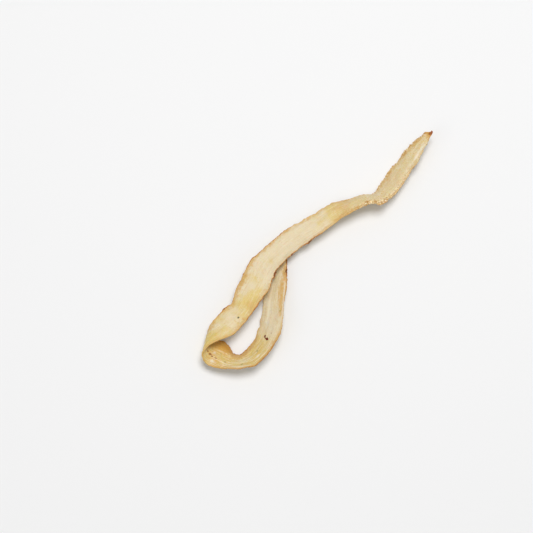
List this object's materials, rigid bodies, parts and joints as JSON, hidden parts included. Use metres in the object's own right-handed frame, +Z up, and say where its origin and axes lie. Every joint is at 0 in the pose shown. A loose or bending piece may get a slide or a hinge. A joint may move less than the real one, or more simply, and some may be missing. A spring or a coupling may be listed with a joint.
{
  "type": "dried solomons seal rhizome slice",
  "caption": "One long dried lengthwise slice of Solomon's seal rhizome: a pale ribbon with a twisted neck, a fold and a hook, lying loose.",
  "frame": {"origin": "centre of the bounding box in X and Y, on the surface that the slice lies on", "axes": "+Z up from that surface; +Y and +X as the slice is seen from above with its brown tip at the upper right"},
  "size_m": [0.0976, 0.1022, 0.0096],
  "materials": {
    "flesh": "satin"
  },
  "bodies": {
    "root": {"rhizome_slice": "flesh"}
  },
  "joints": []
}
